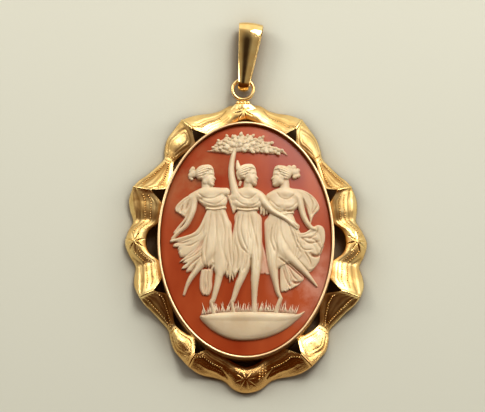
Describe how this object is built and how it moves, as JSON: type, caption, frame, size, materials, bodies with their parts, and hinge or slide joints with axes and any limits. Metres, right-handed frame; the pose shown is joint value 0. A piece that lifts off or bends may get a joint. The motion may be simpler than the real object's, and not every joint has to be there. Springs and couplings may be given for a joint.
{
  "type": "cameo pendant",
  "caption": "Oval shell cameo with three dancing figures in relief, set in a waved gold ribbon frame with a ring and a folded, tapered bail.",
  "frame": {"origin": "on the surface that the pendant lies on, below the middle of its bounding box", "axes": "+Y from the cameo towards the bail, +Z out of the carved face, +X to the right as the face is seen"},
  "size_m": [0.0414, 0.065, 0.0077],
  "materials": {
    "gold": "polished gold alloy with bright-cut engraving",
    "shell": "carved shell, orange-brown ground under an ivory relief",
    "bail_gold": "polished gold alloy"
  },
  "bodies": {
    "pendant": {"gold_frame": "gold", "cameo": "shell"},
    "bail": {"bail": "bail_gold"}
  },
  "joints": [
    {"name": "bail_swing", "type": "hinge", "parent": "pendant", "child": "bail", "pos_m": [-0.00027, 0.02221, 0.00195], "axis": [0.9925, -0.1219, 0], "range_deg": [-120, 130]}
  ]
}
